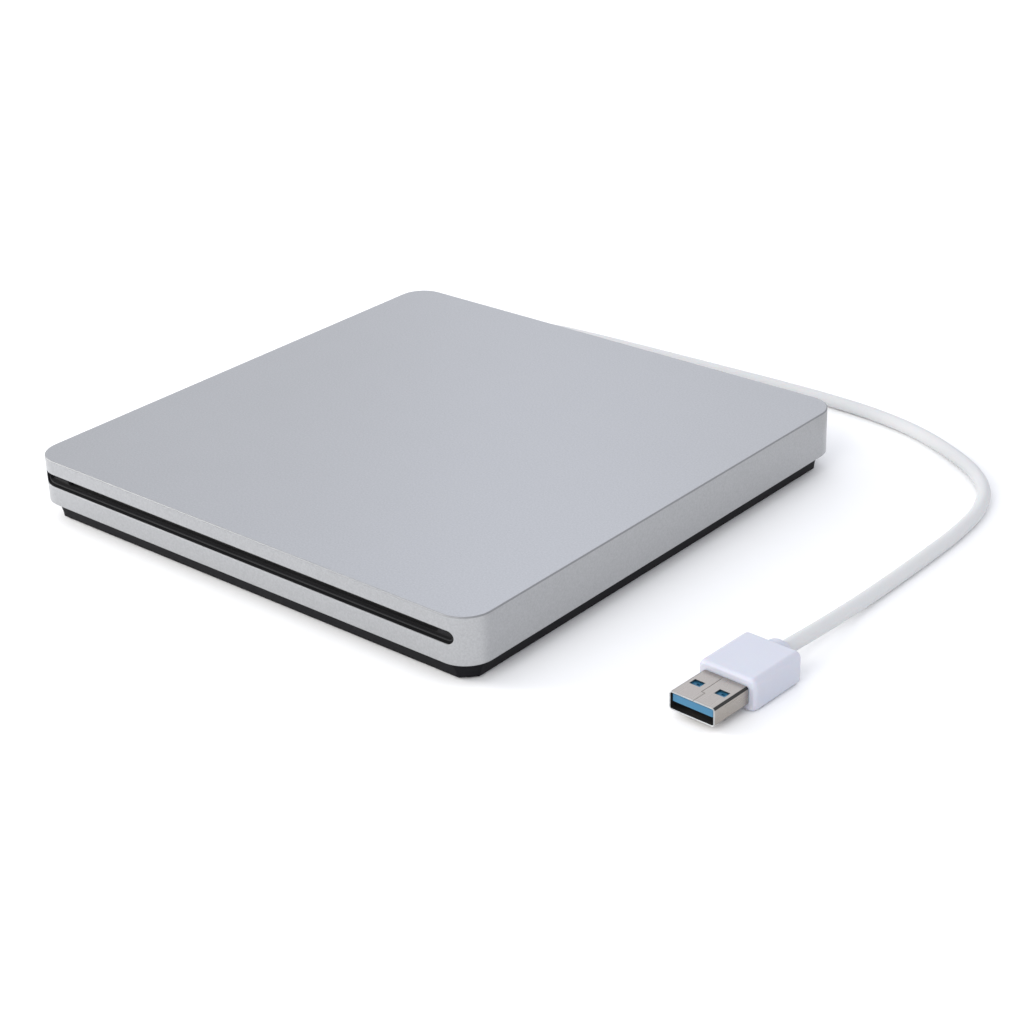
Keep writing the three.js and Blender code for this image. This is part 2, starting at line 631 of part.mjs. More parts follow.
function add(name, body, material, parent = drive) {
  const mesh = new THREE.Mesh(toGeometry(body), material);
  mesh.name = name;
  parent.add(mesh);
}

function addHousing() {
  add('top_shell', topShell(), SILVER);
  add('shell_front_sill', shellFrontSill(), SILVER);
  add('base_tray', baseTray(), BLACK);
  const corners = ['front_left', 'front_right', 'rear_left', 'rear_right'];
  corners.forEach((corner, i) => {
    const [footX, footY] = inCorners(FOOT_PLACE)[i];
    add(`foot_${corner}`, bar([footX, footY, 0], [footX, footY, BASE_Z + GAP], FOOT_RADIUS, 24), RUBBER);
    add(`case_screw_${corner}`, caseScrew(...inCorners(SCREW_PLACE)[i]), BRIGHT_STEEL);
  });
  add('slot_lip_upper', slotLip(1), LINER_BLACK);
  add('slot_lip_lower', slotLip(-1), LINER_BLACK);
  add('felt_strip_upper', feltStrip(12.5, 15.2), FELT);
  add('felt_strip_lower', feltStrip(8.6, 10.8), FELT);
}

function addCable() {
  add('cable_boot', cableBoot(), WHITE);
  add('usb_cable', usbCable(), CABLE_WHITE);
  const plug = new THREE.Group();
  plug.position.set(...PLUG_PLACE);
  plug.rotation.z = PLUG_TURN;
  add('plug_overmould', plugOvermould(), WHITE, plug);
  add('plug_metal_shell', plugMetalShell(), NICKEL, plug);
  add('plug_tongue', plugTongue(), BLUE, plug);
  drive.add(plug);
}

function addTraverse() {
  const diagonal = new THREE.Group();
  diagonal.position.set(0, SPINDLE_Y, 0);
  diagonal.rotation.z = TRAVERSE_TURN;
  const tilt = Math.asin(SPINDLE_DROP / PIVOT_REACH);
  const tilting = new THREE.Group();
  tilting.position.set(0, PIVOT_REACH, PIVOT_Z);
  tilting.rotation.x = tilt;
  const traverse = new THREE.Group();
  traverse.position.set(0, -PIVOT_REACH, -PIVOT_Z);
  tilting.add(traverse);
  diagonal.add(tilting);
  drive.add(diagonal);

  add('traverse_frame', traverseFrame(), SHEET_STEEL, traverse);
  [[-16.4, -12.4], [16.4, -12.4], [-17.2, 58], [17.2, 58]].forEach(([x, y], i) => {
    add(`traverse_damper_${i + 1}`, traverseDamper(x, y), RUBBER, traverse);
  });
  add('spindle_motor', spindleMotor(), SHEET_STEEL, traverse);
  add('turntable', turntable(), DARK_PLASTIC, traverse);
  add('pickup_sled', pickupSled(), DARK_PLASTIC, traverse);
  add('pickup_lens', pickupLens(), LENS_CLEAR, traverse);
  add('guide_rod_main', guideRod(-7.2), BRIGHT_STEEL, traverse);
  add('guide_rod_side', guideRod(12.6), BRIGHT_STEEL, traverse);
  add('lead_screw', leadScrew(), BRIGHT_STEEL, traverse);
  add('feed_motor', feedMotor(), SHEET_STEEL, traverse);

  const pinDrop = (PIVOT_REACH - CAM_Y - 0.6) * Math.sin(tilt);
  add('cam_slider', camSlider(pinDrop), NATURAL_PLASTIC, diagonal);
  add('traverse_pivot_shaft', pivotBar(PIVOT_EAR + 1.9, 0.8, 12), BRIGHT_STEEL, diagonal);
}

function addLoader() {
  const gears = gearTrain();
  const [, idler, pivot, transfer, pinion] = gears;
  add('roller_bracket', rollerBracket(idler, pivot), SHEET_STEEL);
  const shaft = (halfLength, y, z) => bar([-halfLength, y, z], [halfLength, y, z], SHAFT_RADIUS, 12);
  add('bracket_shaft', shaft(61.9, pivot.y, pivot.z), BRIGHT_STEEL);
  add('loading_roller', loadingRoller(), RUBBER);
  add('roller_shaft', shaft(60.6, ROLLER_Y, ROLLER_Z), BRIGHT_STEEL);
  for (const each of gears) {
    add(each.name, gear(each, SHAFT_BORE), NATURAL_PLASTIC);
  }
  add('loading_gearmotor', loadingGearmotor(pinion), SHEET_STEEL);
}

function addArms() {
  for (const arm of armPosts) {
    add(arm.name, discArm(arm), DARK_PLASTIC);
    add(`${arm.name}_rivet`, armRivet(arm.pivot), BRIGHT_STEEL);
  }
}

function addElectronics() {
  add('main_board', mainBoard(), BOARD_GREEN);
  add('controller_chip', chip(-38, 20, 12, 12, MAIN_BOARD_Z, CHIP_HEIGHT), CHIP_BLACK);
  add('motor_driver_chip', chip(-20, 44, 8, 8, MAIN_BOARD_Z, CHIP_HEIGHT), CHIP_BLACK);
  add('bridge_board', box(-48, 16, 61.4, 67, BRIDGE_BOARD_Z, BRIDGE_BOARD_Z + BOARD), BOARD_GREEN);
  add('bridge_chip', chip(-35, 64.2, 6, 4.8, BRIDGE_BOARD_Z, CHIP_HEIGHT - 0.1), CHIP_BLACK);
  add('drive_connector', box(-10, 12, 59, 66, 5.9, 10.1), CHIP_BLACK);
}

addHousing();
add('drive_chassis', driveChassis(), SHEET_STEEL);
add('drive_top_cover', driveTopCover(), SHEET_STEEL);
addTraverse();
addLoader();
addArms();
addElectronics();
addCable();

export default drive;
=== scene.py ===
import json
import math

import bmesh
import bpy
from mathutils import Matrix, Vector


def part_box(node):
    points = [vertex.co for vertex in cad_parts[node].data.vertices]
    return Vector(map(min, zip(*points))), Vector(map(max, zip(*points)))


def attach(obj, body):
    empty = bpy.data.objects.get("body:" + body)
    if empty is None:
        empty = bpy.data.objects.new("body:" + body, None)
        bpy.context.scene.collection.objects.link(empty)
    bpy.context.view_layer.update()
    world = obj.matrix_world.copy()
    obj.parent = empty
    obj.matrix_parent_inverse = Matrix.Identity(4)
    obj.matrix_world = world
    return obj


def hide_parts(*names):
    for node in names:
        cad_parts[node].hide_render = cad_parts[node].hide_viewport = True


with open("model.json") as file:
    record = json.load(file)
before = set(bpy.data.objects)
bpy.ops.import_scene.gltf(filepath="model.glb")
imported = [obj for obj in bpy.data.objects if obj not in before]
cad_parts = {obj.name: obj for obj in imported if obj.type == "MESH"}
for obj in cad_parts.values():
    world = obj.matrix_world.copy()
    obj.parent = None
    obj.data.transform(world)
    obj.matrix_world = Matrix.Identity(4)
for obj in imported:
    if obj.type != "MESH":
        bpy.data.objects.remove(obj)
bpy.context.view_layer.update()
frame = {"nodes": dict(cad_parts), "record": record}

# A slim slot-loading optical drive with a captive USB cable. Lengths are in metres, in the CAD's frame:
# +Z is up, the slot is in the -Y wall and the plug lies on the +X side, its mouth towards -Y.
MM = 0.001
SHELL_LOW, SHELL_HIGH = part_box("top_shell")
TRAY_LOW, TRAY_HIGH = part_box("base_tray")

CORNER = 7.5 * MM  # radius of the shell's upright corners
WALL = 1.3 * MM
TOP_WALL = 1.2 * MM
TOP_EDGE = 0.35 * MM  # rounding of its top edge
SLOT_X, SLOT_Z = -1.15 * MM, 11.65 * MM  # middle of the disc slot
SLOT_HALF_LENGTH = 68.65 * MM
SLOT_HALF_HEIGHT = 1.65 * MM
SLOT_EDGE = 0.25 * MM  # rounding of its edge
SEAM_INSET = 1.8 * MM  # tray side from the shell's outer face, at the seam
TRAY_TAPER = 1.2 * MM  # how much further in it is at the bottom
TRAY_CHAMFER = 3.2 * MM  # cut off its corners at the bottom
TRAY_FLOOR = 1.7 * MM
TRAY_CAVITY = 68.1 * MM  # half the width inside the tray wall
SCREW_PLACE = 66 * MM
SCREW_BORE = 1.25 * MM
FOOT_PLACE = 55 * MM
CABLE_X, CABLE_Z = -55 * MM, 7.4 * MM
CABLE_DIAMETER = 3.5 * MM
BOOT_END_Y = 81.5 * MM
# The cable's middle line in millimetres, from its boot in the rear wall to the plug
CABLE_ROUTE = [
    (-55, 81.8, 7.4), (-55, 85.5, 6.9), (-54.3, 89.3, 5.6), (-52.4, 92.9, 4), (-49.2, 95.9, 2.75),
    (-44.8, 98, 1.95), (-39.5, 99.2, 1.8), (-32, 99.9, 1.8), (-21, 100.6, 1.8), (-8, 101.2, 1.8),
    (6, 101.8, 1.8), (21, 102.4, 1.8), (36, 102.9, 1.8), (52, 102.9, 1.8), (66, 101.9, 1.8),
    (80.6, 98.7, 1.8), (94.1, 92.9, 1.8), (104.8, 86.2, 1.8), (112.3, 78.1, 1.8), (116.8, 67.5, 1.8),
    (118.7, 54.4, 1.8), (119.2, 38.8, 1.8), (119.25, 23.1, 1.85), (119.3, 10, 2.15), (119.35, 0, 2.7),
    (119.4, -9, 3.3), (119.3, -16.5, 3.8), (119.1, -21.3, 4),
]
# The plug is drawn in a frame of its own, with its axis along Y
PLUG_FRAME = Matrix.Translation(Vector((120, 0.2, 4)) * MM) @ Matrix.Rotation(math.radians(-2.3), 4, "Z")
MOUTH_Y = -54.4 * MM
METAL_END_Y = -42.7 * MM
METAL_HALF_X, METAL_HALF_Z = 6 * MM, 2.25 * MM
WINDOW_X, WINDOW_Y = 3.3 * MM, MOUTH_Y + 6.2 * MM  # middle of a latch window
GRIP_Y, GRIP_END_Y = -42.4 * MM, -25.8 * MM
GRIP_HALF_X, GRIP_HALF_Z = 7.7 * MM, 4 * MM
CORNERS = {"front_left": (-1, -1), "front_right": (1, -1), "rear_left": (-1, 1), "rear_right": (1, 1)}


# ---- Camera ----

CAMERA_TURN = (40.82, 26.365, -1.83)  # azimuth, elevation and roll, in degrees
CAMERA_TARGET = Vector((29.57, -7.395, 5.25)) * MM
CAMERA_DISTANCE = 0.55506
FOCAL_LENGTH = 79.297  # in millimetres, on a sensor 36 mm wide


def add_camera():
    """The camera stands in front of the drive and to its right, and looks down on it."""
    azimuth, elevation, roll = (math.radians(angle) for angle in CAMERA_TURN)
    back = Vector((
        math.sin(azimuth) * math.cos(elevation),
        -math.cos(azimuth) * math.cos(elevation),
        math.sin(elevation),
    ))
    side = Vector((math.cos(azimuth), math.sin(azimuth), 0))
    rise = back.cross(side)
    right = math.cos(roll) * side + math.sin(roll) * rise
    up = -math.sin(roll) * side + math.cos(roll) * rise
    camera = bpy.data.objects.new("camera", bpy.data.cameras.new("camera"))
    camera.data.sensor_width = 36
    camera.data.lens = FOCAL_LENGTH
    camera.data.clip_start = 0.01
    turn = Matrix((right, up, back)).transposed().to_4x4()
    camera.matrix_world = Matrix.Translation(CAMERA_TARGET + back * CAMERA_DISTANCE) @ turn
    bpy.context.scene.collection.objects.link(camera)
    bpy.context.scene.camera = camera


# ---- Outlines and meshes ----

def direction(angle):
    """The unit vector at an angle from X."""
    return Vector((math.cos(angle), math.sin(angle)))


def rounded(half_x, half_y, radius, steps=12, flat=0.0):
    """The outline of a rectangle with round corners; flat 1 makes them straight chamfers."""
    points = []
    for quarter, (sx, sy) in enumerate([(1, 1), (-1, 1), (-1, -1), (1, -1)]):
        centre = Vector((sx * (half_x - radius), sy * (half_y - radius)))
        start, end = direction(quarter * math.pi / 2), direction((quarter + 1) * math.pi / 2)
        for k in range(steps + 1):
            arc = direction((quarter + k / steps) * math.pi / 2)
            points.append(centre + radius * arc.lerp(start.lerp(end, k / steps), flat))
    return points


def round_ended(half_x, half_y, steps=12):
    """The outline of a bar with half round ends, or of a circle. Its arcs stay a hair apart."""
    return rounded(half_x, half_y, half_y * 0.999, steps)


def level(outline, z):
    """An outline laid flat at height z."""
    return [Vector((p.x, p.y, z)) for p in outline]


def standing(outline, y, z=0.0):
    """An outline stood up at depth y, with its middle at height z."""
    return [Vector((p.x, y, z + p.y)) for p in outline]


def to_mesh(bm):
    """A mesh with the shape of bm, which it frees."""
    mesh = bpy.data.meshes.new("shape")
    bm.to_mesh(mesh)
    bm.free()
    return mesh


def loft(rings, closed=False):
    """A body through rings of equally many points; its ends are capped, unless they join."""
    bm = bmesh.new()
    rows = [[bm.verts.new(point) for point in ring] for ring in rings]
    pairs = list(zip(rows, rows[1:]))
    if closed:
        pairs.append((rows[-1], rows[0]))
    for a, b in pairs:
        for i in range(len(a)):
            j = (i + 1) % len(a)
            bm.faces.new((a[i], a[j], b[j], b[i]))
    if not closed:
        bm.faces.new(rows[0])
        bm.faces.new(rows[-1])
    bmesh.ops.recalc_face_normals(bm, faces=bm.faces)
    return to_mesh(bm)


def turned(profile, origin, axis="Z", steps=48):
    """A turned body; each point of the profile is a radius and a height along the axis."""
    rings = []
    for radius, height in profile:
        radius = max(radius, 1e-6)  # keeps the points apart on the axis
        ring = []
        for k in range(steps):
            angle = 2 * math.pi * k / steps
            across, along = radius * math.cos(angle), radius * math.sin(angle)
            offset = (across, along, height) if axis == "Z" else (across, height, along)
            ring.append(Vector(origin) + Vector(offset))
        rings.append(ring)
    return loft(rings)


def block(low, high):
    """A box between two corners, as a tool to cut with."""
    low, high = Vector(low), Vector(high)
    place = Matrix.Translation((low + high) / 2) @ Matrix.Diagonal((*(high - low), 1))
    bm = bmesh.new()
    bmesh.ops.create_cube(bm, size=1, matrix=place)
    return to_mesh(bm)


def carve(body, *tools, operation="DIFFERENCE"):
    """The mesh body with each mesh tool cut from it, or joined to it."""
    target = bpy.data.objects.new("target", body)
    bpy.context.scene.collection.objects.link(target)
    made = [target]
    for tool in tools:
        other = bpy.data.objects.new("tool", tool)
        bpy.context.scene.collection.objects.link(other)
        made.append(other)
        modifier = target.modifiers.new("carve", "BOOLEAN")
        modifier.object = other
        modifier.operation = operation
        modifier.solver = "EXACT"
    bpy.context.view_layer.update()
    shape = target.evaluated_get(bpy.context.evaluated_depsgraph_get())
    result = bpy.data.meshes.new_from_object(shape)
    for obj in made:
        bpy.data.objects.remove(obj)
    return result


def paint(mesh, materials, choose):
    """Gives the mesh its materials, and each face the one that choose picks by its centre and normal."""
    for material in materials:
        mesh.materials.append(material)
    for face in mesh.polygons:
        face.material_index = choose(face.center, face.normal)
    return mesh


def sharpen_borders(mesh):
    """Keeps a crisp edge where two materials meet."""
    bm = bmesh.new()
    bm.from_mesh(mesh)
    for edge in bm.edges:
        if len({face.material_index for face in edge.link_faces}) > 1:
            edge.smooth = False
    bm.to_mesh(mesh)
    bm.free()


def ease_edges(obj, width):
    """Rounds the sharp edges of a piece a little."""
    bevel = obj.modifiers.new("edge", "BEVEL")
    bevel.width = width
    bevel.segments = 2
    bevel.limit_method = "ANGLE"
    bevel.angle_limit = math.radians(40)


def piece(name, mesh, slot, nodes=(), crease=30, edge=None):
    """A shown piece that stands for CAD nodes. It takes its slot's material, unless it was painted."""
    mesh.name = name
    if not any(mesh.materials):
        mesh.materials.clear()
        mesh.materials.append(BY_SLOT[slot])
    mesh.shade_smooth()
    mesh.set_sharp_from_angle(angle=math.radians(crease))
    sharpen_borders(mesh)
    obj = bpy.data.objects.new(name, mesh)
    bpy.context.scene.collection.objects.link(obj)
    if edge:
        ease_edges(obj, edge)
    normals = obj.modifiers.new("normals", "WEIGHTED_NORMAL")
    normals.keep_sharp = not edge
    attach(obj, "housing")
    if nodes:
        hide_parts(*nodes)
    return obj


# ---- Materials ----

def link_noise(tree, grain, stretch, detail=4):
    """Noise whose features are about grain across, in metres, in the piece's own coordinates."""
    place = tree.nodes.new("ShaderNodeTexCoord")
    mapping = tree.nodes.new("ShaderNodeMapping")
    mapping.inputs["Scale"].default_value = [s / grain for s in stretch]
    noise = tree.nodes.new("ShaderNodeTexNoise")
    noise.inputs["Scale"].default_value = 1
    noise.inputs["Detail"].default_value = detail
    noise.inputs["Roughness"].default_value = 0.55
    tree.links.new(place.outputs["Object"], mapping.inputs["Vector"])
    tree.links.new(mapping.outputs["Vector"], noise.inputs["Vector"])
    return noise.outputs["Fac"]


def remap(tree, value, low, high):
    """A noise value, spread to run from low to high."""
    node = tree.nodes.new("ShaderNodeMapRange")
    node.inputs["From Min"].default_value = 0.3
    node.inputs["From Max"].default_value = 0.7
    node.inputs["To Min"].default_value = low
    node.inputs["To Max"].default_value = high
    tree.links.new(value, node.inputs["Value"])
    return node.outputs["Result"]


def mix_colours(tree, factor, dark, light):
    """A colour between dark and light, by the factor."""
    node = tree.nodes.new("ShaderNodeMix")
    node.data_type = "RGBA"
    for socket, colour in (("A", dark), ("B", light)):
        wanted = next(s for s in node.inputs if s.name == socket and s.type == "RGBA")
        wanted.default_value = (*colour, 1)
    tree.links.new(factor, node.inputs["Factor"])
    return next(s for s in node.outputs if s.type == "RGBA")


def finish(
    name, dark, light, roughness, grain, relief,
    metallic=0.0, stretch=(1, 1, 1), mottle=30, share=0.5, **sockets,
):
    """A surface whose colour varies with a fine grain and with a mottle.

    The mottle is some times coarser than the grain and has a share of the colour. It also varies the
    roughness, between two values. The relief is the grain's height, in metres.
    """
    material = bpy.data.materials.new(name)
    material.use_nodes = True
    tree = material.node_tree
    shader = tree.nodes["Principled BSDF"]
    shader.inputs["Metallic"].default_value = metallic
    for socket, value in sockets.items():
        shader.inputs[socket.replace("_", " ")].default_value = value
    fine = link_noise(tree, grain, stretch)
    coarse = link_noise(tree, grain * mottle, stretch, detail=2)
    blend = tree.nodes.new("ShaderNodeMath")
    blend.operation = "MULTIPLY_ADD"
    blend.inputs[1].default_value = 1 - share
    blend.use_clamp = True
    mottled = tree.nodes.new("ShaderNodeMath")
    mottled.operation = "MULTIPLY"
    mottled.inputs[1].default_value = share
    tree.links.new(remap(tree, fine, 0, 1), blend.inputs[0])
    tree.links.new(remap(tree, coarse, 0, 1), mottled.inputs[0])
    tree.links.new(mottled.outputs[0], blend.inputs[2])
    tree.links.new(mix_colours(tree, blend.outputs[0], dark, light), shader.inputs["Base Color"])
    tree.links.new(remap(tree, coarse, *roughness), shader.inputs["Roughness"])
    bump = tree.nodes.new("ShaderNodeBump")
    bump.inputs["Distance"].default_value = relief
    tree.links.new(fine, bump.inputs["Height"])
    tree.links.new(bump.outputs["Normal"], shader.inputs["Normal"])
    return material


SILVER = finish(
    "silver_shell", (0.345, 0.349, 0.356), (0.418, 0.422, 0.431), (0.325, 0.335), 0.42 * MM, 3e-6,
    metallic=0.88, share=0.08,
)
# Painted shade: a duller, darker copy of the silver for the shell's eased edges, which dims their
# highlights
SILVER_WITH_PAINTED_SHADE = finish(
    "silver_edge_painted_shade", (0.27, 0.273, 0.28), (0.31, 0.314, 0.321), (0.56, 0.62), 0.3 * MM, 2e-6, metallic=0.95,
)
BLACK = finish(
    "black_base", (0.004, 0.004, 0.005), (0.008, 0.008, 0.01), (0.42, 0.55), 0.35 * MM, 8e-6,
    Specular_IOR_Level=0.08,
)
LINER = finish(
    "liner_black", (0.014, 0.014, 0.015), (0.024, 0.024, 0.026), (0.7, 0.8), 0.4 * MM, 5e-6,
    Specular_IOR_Level=0.15,
)
FELT = finish(
    "felt", (0.002, 0.002, 0.002), (0.012, 0.012, 0.013), (0.95, 1.0), 0.08 * MM, 6e-5,
    Sheen_Weight=0.3, Sheen_Roughness=0.5,
)
RUBBER = finish("rubber", (0.008, 0.008, 0.009), (0.02, 0.02, 0.022), (0.7, 0.85), 0.25 * MM, 8e-6)
WHITE = finish(
    "white_mould", (0.5, 0.515, 0.585), (0.525, 0.54, 0.61), (0.4, 0.5), 0.4 * MM, 2e-6,
    Subsurface_Weight=0.15, Subsurface_Scale=0.002, Specular_IOR_Level=0.4,
)
JACKET = finish(
    "cable_jacket", (0.57, 0.575, 0.58), (0.6, 0.605, 0.61), (0.6, 0.7), 0.5 * MM, 5e-6,
    Subsurface_Weight=0.1, Subsurface_Scale=0.001, Specular_IOR_Level=0.3,
)
NICKEL = finish(
    "plug_nickel", (0.34, 0.31, 0.28), (0.4, 0.37, 0.335), (0.22, 0.3), 0.12 * MM, 1e-6, metallic=1.0,
    stretch=(1, 0.12, 1),
)
# Painted shade: a near black nickel for the inside of the plug's shell and for its upper right fold
NICKEL_PAINTED_SHADE = finish(
    "plug_nickel_painted_shade", (0.02, 0.02, 0.02), (0.05, 0.048, 0.045), (0.5, 0.6), 0.15 * MM, 2e-6,
    metallic=0.6,
)
GOLD = finish(
    "contact_gold", (0.75, 0.52, 0.18), (0.86, 0.63, 0.25), (0.2, 0.3), 0.1 * MM, 1e-6, metallic=1.0,
)
BLUE = finish("blue_insulator", (0.024, 0.135, 0.245), (0.03, 0.155, 0.275), (0.35, 0.45), 0.2 * MM, 3e-6)
SHEET_STEEL = finish(
    "sheet_steel", (0.42, 0.43, 0.43), (0.55, 0.56, 0.56), (0.3, 0.45), 0.25 * MM, 3e-6,
    metallic=1.0, mottle=12,
)
BRIGHT_STEEL = finish(
    "bright_steel", (0.60, 0.61, 0.62), (0.70, 0.71, 0.72), (0.15, 0.25), 0.08 * MM, 1e-6, metallic=1.0,
)
DARK_PLASTIC = finish(
    "dark_plastic", (0.02, 0.021, 0.024), (0.035, 0.036, 0.04), (0.5, 0.65), 0.3 * MM, 6e-6,
)
NATURAL = finish(
    "natural_plastic", (0.74, 0.71, 0.62), (0.82, 0.79, 0.70), (0.35, 0.45), 0.4 * MM, 3e-6,
    Subsurface_Weight=0.2, Subsurface_Scale=0.001,
)
BOARD = finish(
    "board_green", (0.008, 0.075, 0.03), (0.02, 0.14, 0.06), (0.3, 0.4), 0.6 * MM, 1.2e-5, mottle=6,
)
CHIP = finish("chip_black", (0.006, 0.006, 0.007), (0.014, 0.014, 0.016), (0.5, 0.6), 0.1 * MM, 4e-6)
LENS = finish(
    "lens_glass", (0.25, 0.40, 0.52), (0.33, 0.5, 0.62), (0.03, 0.08), 0.5 * MM, 2e-7,
    Coat_Weight=0.6, Coat_Roughness=0.05,
)
INSIDE_BLACK = finish(
    "shell_inside", (0.006, 0.006, 0.007), (0.011, 0.011, 0.012), (0.7, 0.8), 0.3 * MM, 5e-6,
    Specular_IOR_Level=0.2,
)
# The shell is silver outside, black inside, and a duller grey along its eased edges, which is painted shade
# that dims their highlights
SHELL_PAINT = [SILVER, SILVER_WITH_PAINTED_SHADE, INSIDE_BLACK]
OUTSIDE, EDGE, INSIDE = range(3)
BY_SLOT = {
    "silver_shell": SILVER, "black_base": BLACK, "liner_black": LINER, "felt": FELT, "rubber": RUBBER,
    "white_mould": WHITE, "cable_jacket": JACKET, "plug_nickel": NICKEL, "blue_insulator": BLUE,
    "sheet_steel": SHEET_STEEL, "bright_steel": BRIGHT_STEEL, "dark_plastic": DARK_PLASTIC,
    "natural_plastic": NATURAL, "board_green": BOARD, "chip_black": CHIP, "lens_glass": LENS,
}


# ---- Cable and plug ----

def between(a, b, t, start, end):
    """The point at time t on the line that is at a at the start and at b at the end."""
    return a + (b - a) * ((t - start) / (end - start))


def smooth_route(points, per_span=10):
    """Points close together on a smooth curve through the route (Catmull-Rom, centripetal)."""
    route = [Vector(p) * MM for p in points]
    route = [2 * route[0] - route[1], *route, 2 * route[-1] - route[-2]]
    made = []
    for p0, p1, p2, p3 in zip(route, route[1:], route[2:], route[3:]):
        t0 = 0.0
        t1 = t0 + (p1 - p0).length ** 0.5
        t2 = t1 + (p2 - p1).length ** 0.5
        t3 = t2 + (p3 - p2).length ** 0.5
        for k in range(per_span):
            t = t1 + (t2 - t1) * k / per_span
            a1 = between(p0, p1, t, t0, t1)
            a2 = between(p1, p2, t, t1, t2)
            a3 = between(p2, p3, t, t2, t3)
            b1 = between(a1, a2, t, t0, t2)
            b2 = between(a2, a3, t, t1, t3)
            made.append(between(b1, b2, t, t1, t2))
    made.append(route[-2])
    return made


def add_cable():
    """The cable and its length."""
    points = smooth_route(CABLE_ROUTE)
    curve = bpy.data.curves.new("usb_cable_jacket", "CURVE")
    curve.dimensions = "3D"
    curve.bevel_depth = CABLE_DIAMETER / 2
    curve.bevel_resolution = 6
    curve.use_fill_caps = True
    spline = curve.splines.new("POLY")
    spline.points.add(len(points) - 1)
    for point, place in zip(spline.points, points):
        point.co = (*place, 1)
    curve.materials.append(JACKET)
    cable = bpy.data.objects.new("usb_cable_jacket", curve)
    bpy.context.scene.collection.objects.link(cable)
    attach(cable, "housing")
    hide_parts("usb_cable")
    length = sum((b - a).length for a, b in zip(points, points[1:]))
    return cable, length


def add_boot():
    """The strain relief: a flange inside the wall, a collar outside, then a ribbed taper to the cable."""
    # The profile's radii and depths are in millimetres
    inside, outside = 69.9, SHELL_HIGH.y / MM + 0.3
    profile = [(0, inside), (3.1, inside), (3.3, inside + 0.2), (3.3, inside + 1), (2.4, inside + 1)]
    profile += [(2.4, outside), (2.9, outside), (3.1, outside + 0.2), (3.05, outside + 1.4)]
    end = BOOT_END_Y / MM
    ribs, start, plain = 4, outside + 1.9, 0.9
    step = (end - plain - start) / ribs
    for k in range(ribs):
        radius = 2.9 - 0.75 * k / ribs
        groove = radius - 0.35
        y = start + k * step
        profile += [(groove, y - 0.25), (groove, y + 0.15)]
        profile += [(radius, y + 0.4), (radius - 0.08, y + step - 0.6)]
    profile += [(2.1, end - 0.6), (2.02, end - 0.15), (1.9, end), (0, end)]
    mesh = turned([(r * MM, h * MM) for r, h in profile], (CABLE_X, 0, CABLE_Z), axis="Y", steps=40)
    return piece("cable_boot_moulding", mesh, "white_mould", ["cable_boot"], edge=0.08 * MM)


def add_grip():
    """The plug's grip, a rounded block with a bevel round its front, and a short domed relief behind it."""
    corner, bevel, rounding = 1.6 * MM, 1.1 * MM, 0.8 * MM

    def ring(inset, y):
        return standing(rounded(GRIP_HALF_X - inset, GRIP_HALF_Z - inset, corner - inset * 0.6), y)

    rings = []
    for k in range(5):
        turn = math.pi / 2 * k / 4
        rings.append(ring(bevel * (1 - math.sin(turn)) * 0.75, GRIP_Y + bevel * (1 - math.cos(turn))))
    for k in range(6):
        turn = math.pi / 2 * k / 5
        rings.append(ring(rounding * (1 - math.cos(turn)), GRIP_END_Y - rounding * (1 - math.sin(turn))))
    # The relief's radii and depths are in millimetres
    dome = [(3.6, 0), (3.5, 0.3), (3.5, 1.5), (3.42, 2), (3.22, 2.45), (2.9, 2.85)]
    dome += [(2.5, 3.2), (2.2, 3.5), (2.08, 3.75), (2.02, 4.05), (1.95, 4.15)]
    for radius, y in dome:
        rings.append(standing(round_ended(radius * MM, radius * MM), GRIP_END_Y + y * MM))
    mesh = loft(rings)
    mesh.transform(PLUG_FRAME)
    return piece("plug_grip", mesh, "white_mould", ["plug_overmould"], crease=50)


def add_metal_shell():
    """The plug's folded metal shell, with its latch windows and the jogged seam on its top."""
    wall, lip = 0.3 * MM, 0.1 * MM
    beyond = METAL_HALF_Z + 1 * MM  # past the outside, for a tool

    def ring(inset, y):
        corner = max(0.7 * MM - inset, 0.15 * MM)
        return standing(rounded(METAL_HALF_X - inset, METAL_HALF_Z - inset, corner, 6), y)

    rings = [ring(0, METAL_END_Y), ring(0, MOUTH_Y + lip * 2), ring(lip * 0.4, MOUTH_Y + lip * 0.5)]
    rings += [ring(lip, MOUTH_Y), ring(wall - lip, MOUTH_Y)]
    rings += [ring(wall, MOUTH_Y + lip), ring(wall, METAL_END_Y)]

    # dark is painted shade: inside the shell and along its upper right fold
    bright, dark, cut = range(3)

    def face_paint(centre, normal):
        """Cut steel round the mouth's lip, and painted shade, a near black nickel, inside and along the
        upper right fold.
        """
        if centre.y < MOUTH_Y + lip * 2:
            return cut
        folded = normal.x > 0.3 and normal.z > 0.3
        return dark if folded or normal.x * centre.x + normal.z * centre.z < 0 else bright

    mesh = paint(loft(rings, closed=True), [NICKEL, NICKEL_PAINTED_SHADE, SHEET_STEEL], face_paint)
    tools = []
    reach = Vector((1.4 * MM, 1.05 * MM, beyond))
    for side in (-1, 1):
        window = Vector((side * WINDOW_X, WINDOW_Y, 0))
        tools.append(block(window - reach, window + reach))
    start, jog, end, seam = MOUTH_Y - 1 * MM, MOUTH_Y + 4 * MM, MOUTH_Y + 10.8 * MM, 0.06 * MM
    left, right = -0.45 * MM, 0.45 * MM
    groove = [(right - seam, start), (right + seam, start), (right + seam, jog + seam)]
    groove += [(left + seam, jog + seam), (left + seam, end), (left - seam, end)]
    groove += [(left - seam, jog - seam), (right - seam, jog - seam)]
    groove = [Vector(point) for point in groove]
    tools.append(loft([level(groove, METAL_HALF_Z - 0.12 * MM), level(groove, beyond)]))
    mesh = carve(mesh, *tools)
    mesh.transform(PLUG_FRAME)
    return piece("plug_shell", mesh, "plug_nickel", ["plug_metal_shell"], crease=40)


